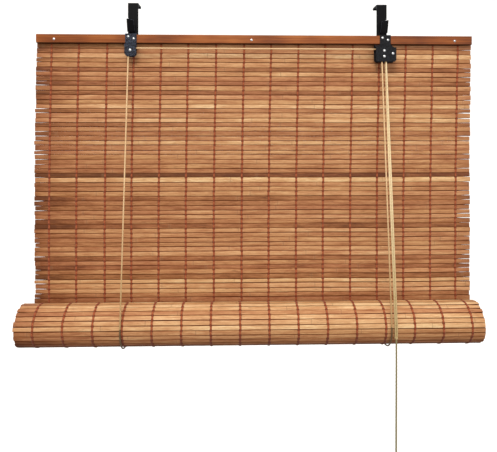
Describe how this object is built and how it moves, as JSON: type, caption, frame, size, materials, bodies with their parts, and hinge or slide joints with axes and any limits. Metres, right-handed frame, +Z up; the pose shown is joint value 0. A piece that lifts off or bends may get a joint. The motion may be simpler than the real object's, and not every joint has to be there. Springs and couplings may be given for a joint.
{
  "type": "bamboo roll-up blind",
  "caption": "Slatted bamboo roll-up blind on a clamped head rail, lifted by two cords through a pulley and a cord lock, hung from two steel hangers.",
  "frame": {"origin": "halfway between the screw holes of the two hangers, on the top face of their flanges", "axes": "+X along the head rail to the right as seen from the room, +Y to the wall, +Z up"},
  "size_m": [0.8091, 0.1206, 0.8342],
  "materials": {
    "black_steel": "gloss stoved black paint",
    "plate_steel": "gloss blue-black paint",
    "bright_steel": "bright plated nails and rivets",
    "zinc": "dull zinc",
    "stained_lath": "orange-brown stained and lacquered bamboo lath",
    "bamboo": "flat bamboo slats, matt, each of its own brown",
    "warp_thread": "red-brown twisted cotton thread",
    "cord": "cream braided cord",
    "sheave_plastic": "moulded cream plastic",
    "knob_wood": "turned and stained wood"
  },
  "bodies": {
    "head": {"hanger_left": "black_steel", "hanger_right": "black_steel", "hanger_screws": "zinc", "front_lath": "stained_lath", "back_lath": "stained_lath", "rail_nails": "bright_steel", "hanging_mat": "bamboo", "mat_warps": "warp_thread", "pulley_back_plate": "plate_steel", "pulley_front_plate": "plate_steel", "pulley_nails": "bright_steel", "pulley_rivet": "bright_steel", "lock_back_plate": "plate_steel", "lock_front_plate": "plate_steel", "lock_nails": "bright_steel", "lock_rivets": "bright_steel", "transfer_cord": "cord", "lock_cord_bend": "cord", "left_front_cord": "cord", "right_front_cord": "cord", "left_back_cord": "cord", "right_back_cord": "cord", "pull_cord_front": "cord", "pull_cord_back": "cord"},
    "cradle": {"left_cord_loop": "cord", "right_cord_loop": "cord"},
    "roll": {"rolled_mat": "bamboo", "roll_warps": "warp_thread", "core_rod": "stained_lath"},
    "left_sheave_body": {"pulley_sheave": "sheave_plastic"},
    "right_sheave_body": {"lock_sheave": "sheave_plastic"},
    "roller_body": {"lock_roller": "zinc"},
    "pawl_body": {"lock_pawl": "zinc"},
    "pull_end": {"pull_leads": "cord", "cord_knots": "cord", "pull_tail": "cord", "pull_knob": "knob_wood"}
  },
  "joints": [
    {"name": "roll_lift", "type": "slide", "parent": "head", "child": "cradle", "axis": [0, 0, 1], "range_m": [0, 0.38], "deforming": ["hanging_mat", "mat_warps", "left_front_cord", "right_front_cord", "left_back_cord", "right_back_cord", "pull_cord_front", "pull_cord_back"]},
    {"name": "roll_turn", "type": "hinge", "parent": "cradle", "child": "roll", "pos_m": [0, -0.0572, -0.579], "axis": [-1, 0, 0], "range_deg": [0, 590]},
    {"name": "pulley_spin", "type": "hinge", "parent": "head", "child": "left_sheave_body", "pos_m": [-0.2325, -0.0342, -0.0919], "axis": [0, 1, 0], "continuous": true},
    {"name": "lock_sheave_spin", "type": "hinge", "parent": "head", "child": "right_sheave_body", "pos_m": [0.2287, -0.0364, -0.0919], "axis": [0, 1, 0], "continuous": true},
    {"name": "lock_roller_spin", "type": "hinge", "parent": "head", "child": "roller_body", "pos_m": [0.2287, -0.0364, -0.1022], "axis": [0, 1, 0], "continuous": true},
    {"name": "pawl_release", "type": "hinge", "parent": "head", "child": "pawl_body", "pos_m": [0.2445, -0.0364, -0.097], "axis": [0, -1, 0], "range_deg": [0, 25]},
    {"name": "cord_pull", "type": "slide", "parent": "cradle", "child": "pull_end", "axis": [0, 0, -1], "range_m": [0, 1.15], "deforming": ["pull_leads"]}
  ],
  "couplings": [
    {"joint": "roll_turn", "follows": "roll_lift", "rad_per_m": 26.81},
    {"joint": "pulley_spin", "follows": "roll_lift", "rad_per_m": 512.82},
    {"joint": "lock_sheave_spin", "follows": "roll_lift", "rad_per_m": 512.82},
    {"joint": "lock_roller_spin", "follows": "roll_lift", "rad_per_m": 754.72},
    {"joint": "cord_pull", "follows": "roll_lift", "ratio": 3}
  ]
}
